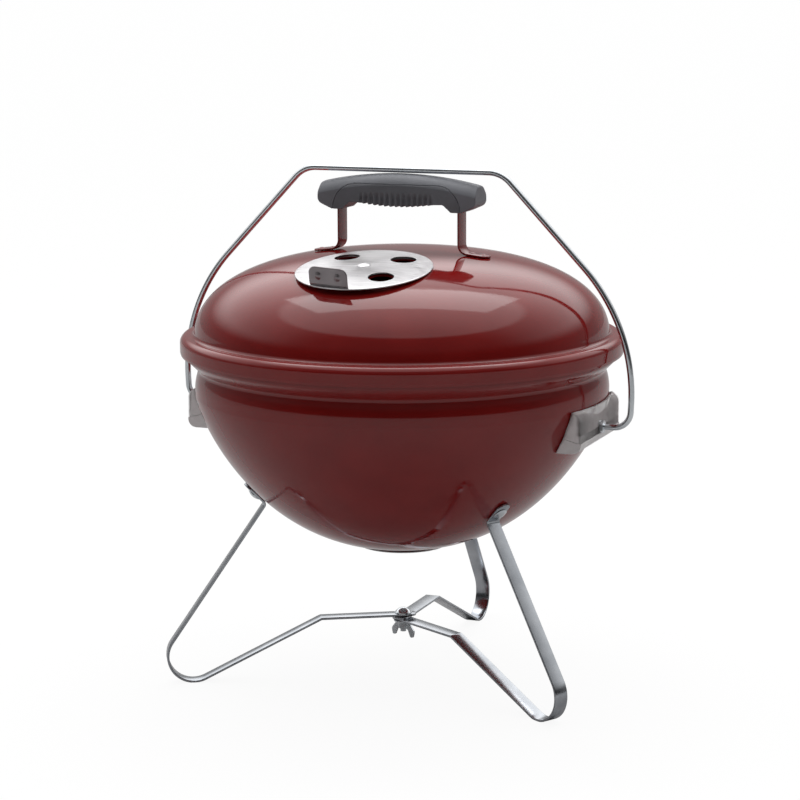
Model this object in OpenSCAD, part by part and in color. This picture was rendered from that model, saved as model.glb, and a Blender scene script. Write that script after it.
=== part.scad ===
// Portable kettle charcoal grill.
// Frame: origin on the floor under the axis of the bowl, +Z up,
// +X along the pivot axis of the carrying bail, -Y towards the lid damper.

/* [Bowl] */
// Outer radius of the bowl body
bowl_r = 174; // [145:1:209]
// Depth of the curved part of the bowl
bowl_h = 132.7; // [110:0.1:160]
// Height of the underside of the bowl above the floor
bowl_floor = 112.4; // [100:0.1:135]
// Thickness of the enamelled sheet of bowl and lid
wall = 1.2; // [0.8:0.1:1.6]
// Height of the neck groove above the widest part of the bowl
neck_rise = 21.4; // [18:0.1:26]
// Depth of the neck groove
neck_depth = 3.2; // [2:0.1:5]
// Height of the rolled rim above the neck groove
rim_rise = 25.4; // [22:0.1:32]
// Radius of the rolled bead on the rim
rim_bead_r = 1.6; // [1.2:0.1:2]
// Number of vents in the bottom of the bowl
bowl_vents = 3; // [2:1:4]
// Radius of one bottom vent
bowl_vent_r = 6.5; // [4:0.1:7.8]
// Distance of the bottom vents from the axis
bowl_vent_pos = 22; // [19:0.5:26]

/* [Lid] */
// How far the lid skirt stands out past the bowl body
lid_overhang = 12; // [10:0.1:15]
// Radius of the rounded shoulder above the skirt
shoulder_r = 6; // [5:0.1:7.2]
// Height of the skirt, shoulder included
skirt_h = 15.5; // [13:0.1:18.6]
// Height of the dome above the shoulder
dome_h = 71; // [59:0.1:86]
// Distance of the lid damper from the axis
damper_pos = 83; // [72:0.5:90]
// Number of vents under the lid damper
lid_vents = 4; // [3:1:4]
// Radius of one lid vent
lid_vent_r = 10.5; // [7:0.1:12.6]
// Distance of the lid vents from the damper rivet
lid_vent_pos = 35; // [29:0.5:40]

/* [Dampers] */
// Radius of the lid damper
damper_r = 56; // [52:0.5:60]
// Radius of the bottom damper
bowl_damper_r = 38; // [34:0.5:42]
// Thickness of the aluminium dampers
damper_t = 1.2; // [0.8:0.1:1.6]
// Width of the thumb tab of the lid damper
tab_w = 36; // [30:0.5:43]
// Height of the thumb tab of the lid damper
tab_h = 16.5; // [12:0.5:20]
// Radius of the damper rivets
rivet_r = 3; // [2.5:0.1:3.6]

/* [Handle] */
// Height of the top of the grip above the top of the dome
handle_rise = 63.7; // [53:0.1:76]
// Overall length of the grip
grip_l = 140; // [126:1:168]
// Width of the grip
grip_w = 27; // [22:0.5:32]
// Height of the grip at its middle
grip_h = 24; // [20:0.5:28]
// Distance between the two legs of the handle bracket
handle_span = 107; // [100:0.5:112]
// Width of the handle bracket strip
strap_w = 18; // [15:0.5:21]
// Thickness of the handle bracket strip
strap_t = 1.6; // [1.2:0.1:2]
// Number of ribs under the grip
grip_ribs = 13; // [9:2:15]

/* [Bail] */
// Diameter of the bail wire
wire_d = 5; // [4:0.1:6]
// Half length of the straight top bar of the bail
bar_half = 88; // [82:0.5:105]
// How far the bail stands outside the lid skirt
bail_clear = 17.5; // [14:0.5:21]
// Depth of the bail pivot below the widest part of the bowl
pivot_drop = 19.6; // [17:0.1:22]
// Height of the shoulder bend of the bail above its pivot
elbow_rise = 83.5; // [70:0.5:100]
// Thickness of the bracket sheet
bracket_t = 1.5; // [1.2:0.1:2]
// Half width of a bail bracket
bracket_half = 54; // [45:0.5:64]
// Shank radius of the bracket rivets
bracket_rivet_r = 2; // [1.6:0.1:2.4]
// Angle of the bracket rivets to each side of the pivot
bracket_rivet_turn = 13; // [11:0.5:15]
// How far the bracket flanges stand out
flange_h = 9; // [7.5:0.1:10.8]

/* [Legs] */
// Width of the leg strip
leg_w = 13; // [11:0.1:15.6]
// Thickness of the leg strip
leg_t = 2; // [1.6:0.1:2.4]
// Radius of the circle on which the feet stand
foot_pos = 179.8; // [150:0.1:215]
// Outer bend radius of a foot
foot_bend = 23; // [19:0.1:27]
// Distance of the inner knee from the axis
knee_pos = 71; // [60:0.5:85]
// Height of the middle of the hub stack above the floor
hub_z = 48.6; // [41:0.1:58]
// Length of the tab that is bolted to the bowl
leg_tab = 24; // [20:0.5:29]
// Shank radius of the leg and hub bolts
bolt_r = 2.5; // [2:0.1:3]

/* [Grates] */
// How far the middle of the ring of the cooking grate lies outside the neck
cook_seat = 1.7; // [1.2:0.1:2]
// Wire diameter of the ring of the cooking grate
cook_ring_d = 5; // [4:0.1:6]
// Wire diameter of the bars of the cooking grate
cook_bar_d = 3; // [2.5:0.1:3.6]
// Number of bars of the cooking grate
cook_bars = 21; // [17:2:25]
// Height of the charcoal grate above the bottom of the bowl
coal_rise = 63; // [61:0.5:76]
// Wire diameter of the charcoal grate
coal_wire_d = 5; // [4:0.1:6]
// Number of bars of the charcoal grate
coal_bars = 13; // [11:2:17]

/* [Clearances] */
// Gap between the lid and the rolled rim
seat_gap = 0.5; // [0.3:0.1:0.8]
// Gap between pieces that touch on curved faces
face_gap = 0.3; // [0.2:0.05:0.5]
// Radial gap of a piece that turns on a shank
run_gap = 0.05; // [0.02:0.01:0.1]
// Gap between the welded wires of a grate
weld_gap = 0.02; // [0.02:0.01:0.05]
// Radial gap of a bolt in its hole
bolt_gap = 0.25; // [0.15:0.05:0.5]

/* [Hidden] */
$fn = 64;

enamel = [0.45, 0.06, 0.06];
plated = [0.62, 0.65, 0.68];
alu = [0.8, 0.82, 0.83];
slate = [0.3, 0.32, 0.34];

// Levels, from the floor up
bowl_z = bowl_floor + bowl_h;
neck_z = bowl_z + neck_rise;
bead_z = neck_z + rim_rise;
shoulder_z = bead_z + rim_bead_r + seat_gap + wall;
dome_z = shoulder_z - 1.8;
dome_top = dome_z + dome_h;
grip_top = dome_top + handle_rise;
pivot_z = bowl_z - pivot_drop;
bar_z = grip_top + face_gap + wire_d / 2 + 0.1;

// Radii of the rim
neck_r = bowl_r - neck_depth;
skirt_r = bowl_r + lid_overhang;
bead_pos = skirt_r - shoulder_r;
rim_r = bead_pos + wall / 2;

// Exponents that shape the bowl and the dome
bowl_side = 0.862;
bowl_base = 1.507;
dome_side = 0.774;
dome_crown = 0.922;
steps = 40;

leg_angles = [90, 210, 330];
leg_names = ["leg_back", "leg_left", "leg_right"];
hub_r = bolt_r;
m5_nut_r = 4.6;
m5_nut_h = 4;

// ---------- outlines ----------

function unit(v) = v / norm(v);
function turn_left(v) = [-v[1], v[0]];
function bowl_at(u) = [bowl_r * pow(cos(u), bowl_side), bowl_z - bowl_h * pow(sin(u), bowl_base)];
function dome_at(u) = [bowl_r * pow(cos(u), dome_side), dome_z + dome_h * pow(sin(u), dome_crown)];
function bowl_dir(u) = unit(bowl_at(u - 0.2) - bowl_at(u + 0.2));
function dome_dir(u) = unit(dome_at(u - 0.2) - dome_at(u + 0.2));
// Angle parameter of the point of the bowl at a height, or of the dome at a radius
function bowl_u(z) = asin(pow((bowl_z - z) / bowl_h, 1 / bowl_base));
function dome_u(r) = acos(pow(r / bowl_r, 1 / dome_side));

// Points of an arc that rounds the corner b between a and c
function corner(a, b, c, r, n = 8) =
  let(p = unit(a - b), q = unit(c - b), half = acos(max(-1, min(1, p * q))) / 2)
  half > 89.9 || r <= 0 ? [b] :
  let(m = b + unit(p + q) * r / sin(half), s = b + p * r / tan(half),
      turn = (180 - 2 * half) * (cross(b - a, c - b) > 0 ? 1 : -1),
      v = s - m)
  [for (i = [0 : n]) let(w = turn * i / n)
    m + [v[0] * cos(w) - v[1] * sin(w), v[0] * sin(w) + v[1] * cos(w)]];
// Open path with its inner corners rounded
function rounded(pts, radii, n = 8) = concat([pts[0]],
  [for (i = [1 : len(pts) - 2]) each corner(pts[i - 1], pts[i], pts[i + 1], radii[i - 1], n)],
  [pts[len(pts) - 1]]);
// Closed outline with all its corners rounded
function rounded_loop(pts, radii, n = 8) = let(k = len(pts))
  [for (i = [0 : k - 1]) each corner(pts[(i + k - 1) % k], pts[i], pts[(i + 1) % k], radii[i], n)];
// Open path moved sideways, to the left for a positive distance
function beside(pts, d) = let(k = len(pts)) [for (i = [0 : k - 1])
  let(a = unit(pts[min(i + 1, k - 1)] - pts[max(i - 1, 0)]),
      p = i > 0 ? unit(pts[i] - pts[i - 1]) : a,
      mitre = max(0.7, turn_left(a) * turn_left(p)))
  pts[i] + turn_left(a) * d / mitre];
function reversed(pts) = [for (i = [len(pts) - 1 : -1 : 0]) pts[i]];
// Closed outline of a strip of thickness t centred on a path
function strip(pts, t) = concat(beside(pts, t / 2), reversed(beside(pts, -t / 2)));
// Closed outline of a shell of thickness t on the left of a path
function shell(pts, t) = concat(pts, [for (p = reversed(beside(pts, t))) [p[0] < 1 ? 0 : p[0], p[1]]]);

bowl_path = concat(
  [for (i = [0 : steps]) bowl_at(90 - 89.9 * i / steps)],
  rounded([[bowl_r, bowl_z + 2], [bowl_r, bowl_z + 0.5 * neck_rise],
    [neck_r, neck_z], [rim_r, neck_z + rim_r - neck_r], [rim_r, bead_z]],
    [40, 4, 5]));

lid_path = concat(
  [for (i = [0 : steps]) dome_at(90 - 85 * i / steps)],
  rounded([dome_at(4.5), [bowl_r + 0.4, shoulder_z], [skirt_r, shoulder_z],
    [skirt_r, shoulder_z - skirt_h + 2], [skirt_r - 0.6, shoulder_z - skirt_h]],
    [3.4, shoulder_r, 2]));

// ---------- placing ----------

// Turns a plan outline into one that stands in the XZ plane, centred on Y
module upright(t) { translate([0, t / 2, 0]) rotate([90, 0, 0]) linear_extrude(t) children(); }
// Places children at a point of a half plane through the axis, +Z along a tilt from vertical
module at_tilt(angle, p, tilt) {
  rotate([0, 0, angle]) translate([p[0], 0, p[1]]) rotate([0, tilt, 0]) children();
}
module both_sides() { children(); mirror([1, 0, 0]) children(); }
module on_legs() { for (a = leg_angles) rotate([0, 0, a]) children(); }

damper_u = dome_u(damper_pos);
damper_p = dome_at(damper_u);
damper_tilt = 90 - atan2(dome_dir(damper_u)[0], -dome_dir(damper_u)[1]);
module at_lid_damper() { at_tilt(-90, damper_p, damper_tilt) rotate([0, 0, 90]) children(); }

tab_u = bowl_u(bowl_floor + 0.373 * bowl_h);
tab_p = bowl_at(tab_u);
tab_dir = bowl_dir(tab_u);
tab_out = [tab_dir[1], -tab_dir[0]];
tab_tilt = 90 + atan2(-tab_out[1], tab_out[0]);
// Places children on each leg tab, +Z out of the bowl along the bolt
module at_leg_tabs() { for (a = leg_angles) at_tilt(a, tab_p, tab_tilt) children(); }

module ring_of(count, pos) { for (i = [0 : count - 1]) rotate([0, 0, 360 * i / count]) translate([pos, 0, 0]) children(); }
module hex_nut(r_flat, h, bore) {
  difference() {
    cylinder(r = r_flat / cos(30), h = h, $fn = 6);
    translate([0, 0, -1]) cylinder(r = bore, h = h + 2);
  }
}
module washer(r, h, bore) {
  difference() {
    cylinder(r = r, h = h);
    translate([0, 0, -1]) cylinder(r = bore, h = h + 2);
  }
}
// Low domed head with a flat underside at z = 0
module dome_head(r, h) {
  ball = (r * r + h * h) / (2 * h);
  intersection() {
    translate([0, 0, h - ball]) sphere(ball, $fn = 64);
    cylinder(r = r, h = h + 1);
  }
}

// ---------- bowl and lid ----------

module bowl() {
  color(enamel) difference() {
    union() {
      rotate_extrude($fn = 144) polygon(shell(bowl_path, wall));
      translate([0, 0, bead_z]) rotate_extrude($fn = 144) translate([bead_pos, 0]) circle(rim_bead_r, $fn = 24);
    }
    translate([0, 0, bowl_floor - 5]) rotate([0, 0, 30]) ring_of(bowl_vents, bowl_vent_pos)
      cylinder(r = bowl_vent_r, h = 20);
    translate([0, 0, bowl_floor - 5]) cylinder(r = rivet_r + run_gap, h = 20);
    at_leg_tabs() translate([0, 0, -8]) cylinder(r = bolt_r + bolt_gap, h = 16);
    both_sides() translate([bowl_r - 30, 0, pivot_z]) rotate([0, 90, 0]) cylinder(r = wire_d / 2 + 1, h = 40);
    at_bracket_rivets() translate([0, 0, -8]) cylinder(r = bracket_rivet_r + run_gap, h = 16);
  }
}

module lid() {
  color(enamel) difference() {
    rotate_extrude($fn = 144) polygon(shell(lid_path, -wall));
    at_lid_damper() rotate([0, 0, 45]) ring_of(lid_vents, lid_vent_pos)
      translate([0, 0, -16]) cylinder(r = lid_vent_r, h = 24);
    at_lid_damper() translate([0, 0, -8]) cylinder(r = rivet_r + run_gap, h = 16);
  }
}

// ---------- lid handle ----------

strap_top = grip_top - 8.6;
seam_z = strap_top + face_gap / 2;
strap_bend = 18;
handle_screw_x = 36;
leg_x = handle_span / 2;
foot_u = dome_u(leg_x + 14);
foot_p = dome_at(foot_u);
foot_dir = dome_dir(foot_u);
foot_out = [-foot_dir[1], foot_dir[0]];
foot_mid = foot_p + foot_out * (face_gap + strap_t / 2);
// Where the line of the foot meets the line of the leg
foot_corner = foot_mid - foot_dir * (foot_mid[0] - leg_x) / foot_dir[0];
foot_end = foot_mid + foot_dir * 11;
strap_path = rounded([[0, strap_top - strap_t / 2], [leg_x, strap_top - strap_t / 2], foot_corner, foot_end],
  [strap_bend, 8]);

module handle_bracket() {
  color(enamel) difference() {
    union() {
      both_sides() intersection() {
        upright(strap_w) polygon(strip(concat([[-1, strap_top - strap_t / 2]], strap_path), strap_t));
        union() {
          translate([-2, -strap_w, 0]) cube([leg_x + 14, 2 * strap_w, grip_top]);
          translate([foot_end[0] - strap_w / 2, 0, 0]) cylinder(r = strap_w / 2, h = grip_top);
        }
      }
      // Weld marks on the feet
      both_sides() for (k = [-5, 5])
        translate([foot_mid[0] + k * foot_dir[0], 0, foot_mid[1] + k * foot_dir[1]])
          rotate([0, atan2(foot_out[0], foot_out[1]), 0]) translate([0, 0, strap_t / 2 - 0.1]) dome_head(2.6, 1);
    }
    both_sides() translate([handle_screw_x, 0, strap_top - 4]) cylinder(r = 1.5 + bolt_gap, h = 8);
  }
}

grip_bow = (grip_l * grip_l / 4 + 64) / 16;
grip_low = grip_top - grip_h;
end_z = grip_top - 8;
grip_end = grip_l / 2;
sleeve_z = grip_low - 6.2;
function bow_z(x) = grip_top - grip_bow + sqrt(grip_bow * grip_bow - x * x);
// Underside of the ribbed part of the grip, bowed towards the fingers
rib_half = leg_x - 20;
function under_z(x) = grip_low - 0.3 - 2.7 * (1 - pow(x / rib_half, 2));
grip_outline = concat(
  [for (i = [-8 : 8]) let(x = i / 8 * (grip_end - 4)) [x, bow_z(x)]],
  rounded([[grip_end - 3, end_z + 0.8], [grip_end, end_z - 1], [grip_end + 0.6, end_z - 16.5],
    [leg_x + 4, sleeve_z], [leg_x - 5, sleeve_z], [leg_x - 12, grip_low], [rib_half, under_z(rib_half)]], [2, 6, 4, 2, 4]),
  [for (i = [7 : -1 : -7]) let(x = rib_half * i / 8) [x, under_z(x)]],
  rounded([[-rib_half, under_z(rib_half)], [12 - leg_x, grip_low], [5 - leg_x, sleeve_z], [-leg_x - 4, sleeve_z],
    [-grip_end - 0.6, end_z - 16.5], [-grip_end, end_z - 1], [3 - grip_end, end_z + 0.8]], [4, 2, 4, 6, 2]));
seam_half = leg_x + 3.2;
seam_outline = rounded_loop([[-seam_half, sleeve_z - 5], [-seam_half, seam_z], [seam_half, seam_z],
  [seam_half, sleeve_z - 5]], [0, strap_bend + 3, strap_bend + 3, 0]);
crown_r = grip_w / 2 + 1;

// Outline across the grip: a crowned top and rounded lower edges
module grip_section() {
  intersection() {
    union() {
      translate([0, grip_bow - crown_r]) circle(crown_r);
      translate([-grip_w / 2, grip_bow - 60]) square([grip_w, 60 - crown_r]);
    }
    translate([-grip_w / 2, grip_bow - 60]) square([grip_w, 80]);
  }
}
// Body of the grip, arched about a line parallel to Y
module grip_body() {
  intersection() {
    upright(grip_w + 2) polygon(grip_outline);
    translate([0, 0, grip_top - grip_bow]) rotate([90, 0, 0]) rotate([0, 0, 90 - 15])
      rotate_extrude(angle = 30, $fn = 180) rotate([0, 0, -90]) grip_section();
  }
}
module strap_room() {
  both_sides() upright(strap_w + 2 * face_gap)
    polygon(strip(concat([[-1, strap_top - strap_t / 2]], strap_path), strap_t + face_gap));
}

module handle_shell() {
  color(slate) difference() {
    grip_body();
    upright(grip_w + 6) polygon(seam_outline);
    both_sides() translate([handle_screw_x, 0, seam_z - 1]) cylinder(r = 1.5, h = 6.5);
  }
}

module handle_insert() {
  rib_gap = 2 * 29 / (grip_ribs - 1);
  color(slate) difference() {
    intersection() {
      grip_body();
      upright(grip_w + 6) offset(delta = -face_gap / 2) polygon(seam_outline);
    }
    strap_room();
    for (i = [0 : grip_ribs - 2])
      let(x = -29 + rib_gap * (i + 0.5)) translate([x, 0, under_z(x) - 0.6]) rotate([90, 0, 0]) cylinder(r = 1.6, h = grip_w + 4, center = true);
    both_sides() translate([handle_screw_x, 0, sleeve_z - 2]) {
      cylinder(r = 1.5 + bolt_gap, h = 40);
      cylinder(r = 3.4, h = grip_low + 2.5 - sleeve_z + 2);
    }
  }
}

module handle_screws() {
  color(plated) both_sides() translate([handle_screw_x, 0, grip_low + 2.5]) {
    cylinder(r = 1.5, h = seam_z + 5 - grip_low - 2.5);
    mirror([0, 0, 1]) dome_head(2.9, 1.6);
  }
}

// ---------- dampers ----------

lid_cup = 1.15 * bowl_r * bowl_r / dome_h;
bowl_cup = 1.315 * bowl_r * bowl_r / bowl_h;
// Shallow dish, its hollow side down, with its middle at z = 0
module dish(r, cup, t) {
  reach = asin(r / cup);
  translate([0, 0, -cup]) rotate_extrude($fn = 128) polygon(concat(
    [for (i = [0 : 12]) (cup + t) * [sin(reach * i / 12), cos(reach * i / 12)]],
    [for (i = [12 : -1 : 0]) cup * [sin(reach * i / 12), cos(reach * i / 12)]]));
}
tab_turn = -100;
tab_pos = sqrt(damper_r * damper_r - tab_w * tab_w / 4);
function dish_drop(r, cup) = cup - sqrt(cup * cup - r * r);

module lid_damper() {
  lift = face_gap + 0.3;
  color(alu) at_lid_damper() difference() {
    union() {
      translate([0, 0, lift]) dish(damper_r, lid_cup, damper_t);
      rotate([0, 0, tab_turn]) translate([tab_pos - 1, 0, lift - dish_drop(tab_pos, lid_cup)]) {
        rotate([90, 0, 90]) linear_extrude(damper_t) polygon(rounded_loop(
          [[-tab_w / 2, 0], [tab_w / 2, 0], [tab_w / 2, tab_h], [-tab_w / 2, tab_h]], [0, 0, 6, 6]));
        for (k = [-1, 1]) translate([damper_t - 1.2, k * tab_w / 4, tab_h * 0.55]) sphere(2.6, $fn = 24);
      }
    }
    rotate([0, 0, 45]) ring_of(lid_vents, lid_vent_pos) translate([0, 0, -6]) cylinder(r = lid_vent_r, h = 12);
    translate([0, 0, -3]) cylinder(r = rivet_r + run_gap, h = 8);
  }
}

module rivet(lower, upper) {
  cylinder(r = rivet_r, h = upper);
  translate([0, 0, upper]) dome_head(rivet_r * 1.9, 1.8);
  translate([0, 0, -lower]) cylinder(r = rivet_r, h = lower);
  translate([0, 0, -lower]) mirror([0, 0, 1]) dome_head(rivet_r * 1.7, 1.5);
}
module lid_damper_rivet() {
  color(alu) at_lid_damper() rivet(wall + 0.4, face_gap + 0.3 + damper_t + 0.2);
}

module bowl_damper() {
  lift = face_gap + 0.2;
  color(alu) translate([0, 0, bowl_floor]) mirror([0, 0, 1]) difference() {
    union() {
      translate([0, 0, lift]) dish(bowl_damper_r, bowl_cup, damper_t);
      rotate([0, 0, 90]) translate([bowl_damper_r - 3, 0, lift - dish_drop(bowl_damper_r - 3, bowl_cup)])
        rotate([90, 0, 90]) linear_extrude(damper_t) polygon(rounded_loop(
          [[-9, 0], [9, 0], [9, 12], [-9, 12]], [0, 0, 4, 4]));
    }
    rotate([0, 0, -30]) ring_of(bowl_vents, bowl_vent_pos) translate([0, 0, -6]) cylinder(r = bowl_vent_r, h = 12);
    translate([0, 0, -3]) cylinder(r = rivet_r + run_gap, h = 8);
  }
}
module bowl_damper_rivet() {
  color(alu) translate([0, 0, bowl_floor]) mirror([0, 0, 1])
    rivet(wall + 0.4, face_gap + 0.2 + damper_t + 0.2);
}

// ---------- bail ----------

elbow_x = skirt_r + bail_clear;
inner_r = bowl_at(bowl_u(pivot_z - 6))[0] - wall - face_gap;
bail_end_x = inner_r - 6;
stop_x = bowl_at(bowl_u(pivot_z + 7))[0] + bracket_t + 3;
bail_corners = [[0, bar_z], [bar_half, bar_z], [elbow_x, pivot_z + elbow_rise], [elbow_x - 4, pivot_z], [bail_end_x, pivot_z]];
// The shoulder bend ends at one height above the pivot, whatever its turn
elbow_turn = 90 + atan2(4, elbow_rise) - atan2(bar_z - pivot_z - elbow_rise, elbow_x - bar_half);
elbow_bend = (elbow_rise - 19.6) / tan(elbow_turn / 2);
bail_bends = [25, elbow_bend, 14];

// Half of a round wire along a flat path of straight runs and bends, in the XZ plane;
// the runs enter the bends by a hair and are a hair thinner
module wire(pts, bends, d, first_run = 0) {
  k = len(pts);
  function trim(i) = i == 0 || i == k - 1 ? 0 :
    let(p = unit(pts[i - 1] - pts[i]), q = unit(pts[i + 1] - pts[i])) bends[i - 1] / tan(acos(p * q) / 2) - wire_lap;
  rotate([90, 0, 0]) {
    for (i = [first_run : k - 2]) let(v = unit(pts[i + 1] - pts[i]), s = pts[i] + v * trim(i),
        run = norm(pts[i + 1] - pts[i]) - trim(i) - trim(i + 1))
      translate([s[0], s[1], 0]) rotate([0, 0, atan2(v[1], v[0])]) rotate([0, 90, 0])
        cylinder(d = d - wire_step, h = run, $fn = 32);
    for (i = [1 : k - 2]) let(p = unit(pts[i - 1] - pts[i]), q = unit(pts[i + 1] - pts[i]), half = acos(p * q) / 2,
        m = pts[i] + unit(p + q) * bends[i - 1] / sin(half))
      translate([m[0], m[1], 0]) rotate([0, 0, atan2(-unit(p + q)[1], -unit(p + q)[0]) - (90 - half)])
        rotate_extrude(angle = 180 - 2 * half, $fn = 128) translate([bends[i - 1], 0]) circle(d = d, $fn = 32);
  }
}
wire_lap = 0.5;
wire_step = 0.06;
bar_turn = atan2(bar_z - pivot_z - elbow_rise, elbow_x - bar_half);
bar_run = bar_half - bail_bends[0] * tan(bar_turn / 2) + wire_lap;
module bail() {
  color(plated) {
    both_sides() wire(bail_corners, bail_bends, wire_d, 1);
    translate([-bar_run, 0, bar_z]) rotate([0, 90, 0]) cylinder(d = wire_d - wire_step, h = 2 * bar_run, $fn = 32);
  }
}

module bail_stop_nuts() {
  color(plated) both_sides() translate([stop_x, 0, pivot_z]) rotate([0, 90, 0]) hex_nut(m5_nut_r, 2.6, (wire_d - wire_step) / 2);
}
module bail_end_nuts() {
  color(plated) both_sides() translate([inner_r - 3, 0, pivot_z]) rotate([0, 90, 0]) washer(5, 2.4, (wire_d - wire_step) / 2);
}

pivot_u = bowl_u(pivot_z);
pivot_lean = atan2(bowl_dir(pivot_u)[0], bowl_dir(pivot_u)[1]);
module bail_washers() {
  color(plated) both_sides() for (k = [0, 1])
    translate([bowl_at(pivot_u)[0] + (bracket_t + face_gap) / cos(pivot_lean) + 0.15 + 1.35 * k, 0, pivot_z])
      rotate([0, 90 + pivot_lean, 0]) washer(6, 1.1, wire_d / 2 + 0.8);
}

// Sheet bracket that hugs the bowl, with a flange at each side
bracket_top_z = bowl_z + 0.3;
bracket_low_z = bowl_z - 33.2;
bracket_turn = asin(bracket_half / bowl_r);
bracket_path = [for (i = [0 : 8]) let(z = bracket_low_z + (bracket_top_z - bracket_low_z) * i / 8,
  u = bowl_u(min(z, bowl_z - 0.6)), p = bowl_at(u), d = bowl_dir(u))
  [p[0], z] + [d[1], -d[0]] * face_gap];
lap = 0.3;
module bracket() {
  top = bracket_path[8];
  low = bracket_path[0];
  difference() {
    union() {
      intersection() {
        rotate([0, 0, -25]) rotate_extrude(angle = 50, $fn = 144) polygon(shell(bracket_path, -bracket_t));
        translate([0, -bracket_half + lap, 0]) cube([2 * bowl_r, 2 * (bracket_half - lap), 2 * bowl_z]);
      }
      for (s = [-1, 1]) intersection() {
        translate([0, s * (bracket_half - bracket_t / 2), 0]) upright(bracket_t) polygon(rounded_loop([
          [top[0] - 14, top[1] - lap], [top[0] * cos(bracket_turn) + flange_h, top[1] - lap],
          [low[0] * cos(bracket_turn) + flange_h, low[1] + lap], [low[0] - 14, low[1] + lap]], [0, 8, 7, 0]));
        rotate_extrude($fn = 144) polygon(concat(beside(bracket_path, -lap),
          [[bowl_r + 40, top[1]], [bowl_r + 40, low[1]]]));
      }
      // Pressed rib around the pivot
      intersection() {
        rotate([0, 0, -20]) rotate_extrude(angle = 40, $fn = 144)
          polygon(shell(beside(bracket_path, -bracket_t / 2), -bracket_t / 2 - 1));
        translate([0, 0, pivot_z + 9.5]) rotate([0, 90, 0]) difference() {
          cylinder(r = 21.5, h = 2 * bowl_r);
          translate([0, 0, -1]) cylinder(r = 18.9, h = 2 * bowl_r + 2);
        }
      }
    }
    translate([bowl_r - 30, 0, pivot_z]) rotate([0, 90, 0]) cylinder(r = wire_d / 2 + run_gap, h = 60);
    at_bracket_rivets() translate([0, 0, -8]) cylinder(r = bracket_rivet_r + run_gap, h = 16);
  }
}
module bail_bracket_right() { color(alu) bracket(); }
module bail_bracket_left() { color(alu) mirror([1, 0, 0]) bracket(); }

rivet_u = bowl_u(bowl_z - 13);
rivet_tilt = 90 + atan2(-bowl_dir(rivet_u)[0], bowl_dir(rivet_u)[1]) * -1;
module at_bracket_rivets() {
  for (a = [-1, 1]) for (b = [0, 180]) at_tilt(b + a * bracket_rivet_turn, bowl_at(rivet_u), rivet_tilt) children();
}
module bracket_rivets() {
  outer = face_gap + bracket_t + 0.15;
  color(alu) at_bracket_rivets() {
    translate([0, 0, -wall - 0.15]) cylinder(r = bracket_rivet_r, h = wall + 0.15 + outer);
    translate([0, 0, outer]) dome_head(4, 1.6);
    translate([0, 0, -wall - 0.15]) mirror([0, 0, 1]) dome_head(3.6, 1.4);
  }
}

// ---------- legs ----------

// Point where a line from p touches a circle about m
function touch(p, m, r, side) = let(v = p - m, w = atan2(v[1], v[0]) + side * acos(r / norm(v)))
  m + r * [cos(w), sin(w)];
foot_flat = 0.3;
foot_mid_r = foot_bend - leg_t / 2;
foot_c = [foot_pos, foot_bend - foot_flat];
leg_end = tab_p + tab_out * (face_gap + leg_t / 2);
leg_bend = leg_end - tab_dir * leg_tab / 2;
leg_tip = leg_end + tab_dir * leg_tab / 2;

hub_end = 11;
tab_last = leg_tip - tab_dir * leg_w / 2;
function leg_path(z) = let(knee = [knee_pos, z],
    low = touch(knee, foot_c, foot_mid_r, 1), high = touch(leg_bend, foot_c, foot_mid_r, -1),
    a = (atan2(low[1] - foot_c[1], low[0] - foot_c[0]) + 360) % 360,
    b = (atan2(high[1] - foot_c[1], high[0] - foot_c[0]) + 360) % 360 + 360)
  concat([[leg_w / 2 - hub_end, z]], corner([0, z], knee, low, 3, 4),
    [for (i = [0 : 18]) let(w = a + (b - a) * i / 18) foot_c + foot_mid_r * [cos(w), sin(w)]],
    corner(high, leg_bend, tab_last, 2.5, 4), [tab_last]);

module leg(index) {
  z = hub_z + [0, 1, -1][index] * leg_t;
  difference() {
    union() {
      upright(leg_w) polygon(strip(leg_path(z), leg_t));
      translate([leg_w / 2 - hub_end, 0, z - leg_t / 2]) cylinder(r = leg_w / 2, h = leg_t);
      at_tilt(0, tab_last, tab_tilt) translate([0, 0, -leg_t / 2]) cylinder(r = leg_w / 2, h = leg_t);
    }
    translate([0, -leg_w, -10]) cube([2 * foot_pos, 2 * leg_w, 10]);
    translate([0, 0, z - 3]) cylinder(r = bolt_r + bolt_gap, h = 6);
    at_tilt(0, tab_p, tab_tilt) translate([0, 0, -3]) cylinder(r = bolt_r + bolt_gap, h = 8);
  }
}
module leg_back() { color(plated) rotate([0, 0, leg_angles[0]]) leg(0); }
module leg_left() { color(plated) rotate([0, 0, leg_angles[1]]) leg(1); }
module leg_right() { color(plated) rotate([0, 0, leg_angles[2]]) leg(2); }

tab_face = face_gap + leg_t + 0.02;
washer_t = 1;
module leg_bolts() {
  color(plated) at_leg_tabs() {
    translate([0, 0, -wall - 9]) cylinder(r = bolt_r, h = wall + 9 + tab_face);
    translate([0, 0, tab_face]) cylinder(r = 6.2, h = 0.6);
    translate([0, 0, tab_face + 0.6]) dome_head(6.2, 2);
  }
}
module leg_washers() {
  color(plated) at_leg_tabs() translate([0, 0, -wall - 0.5 - washer_t]) washer(6, washer_t, bolt_r + bolt_gap);
}
module leg_nuts() {
  color(plated) at_leg_tabs() translate([0, 0, -wall - 0.5 - washer_t - m5_nut_h]) hex_nut(m5_nut_r, m5_nut_h, bolt_r);
}

// ---------- hub ----------

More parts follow.
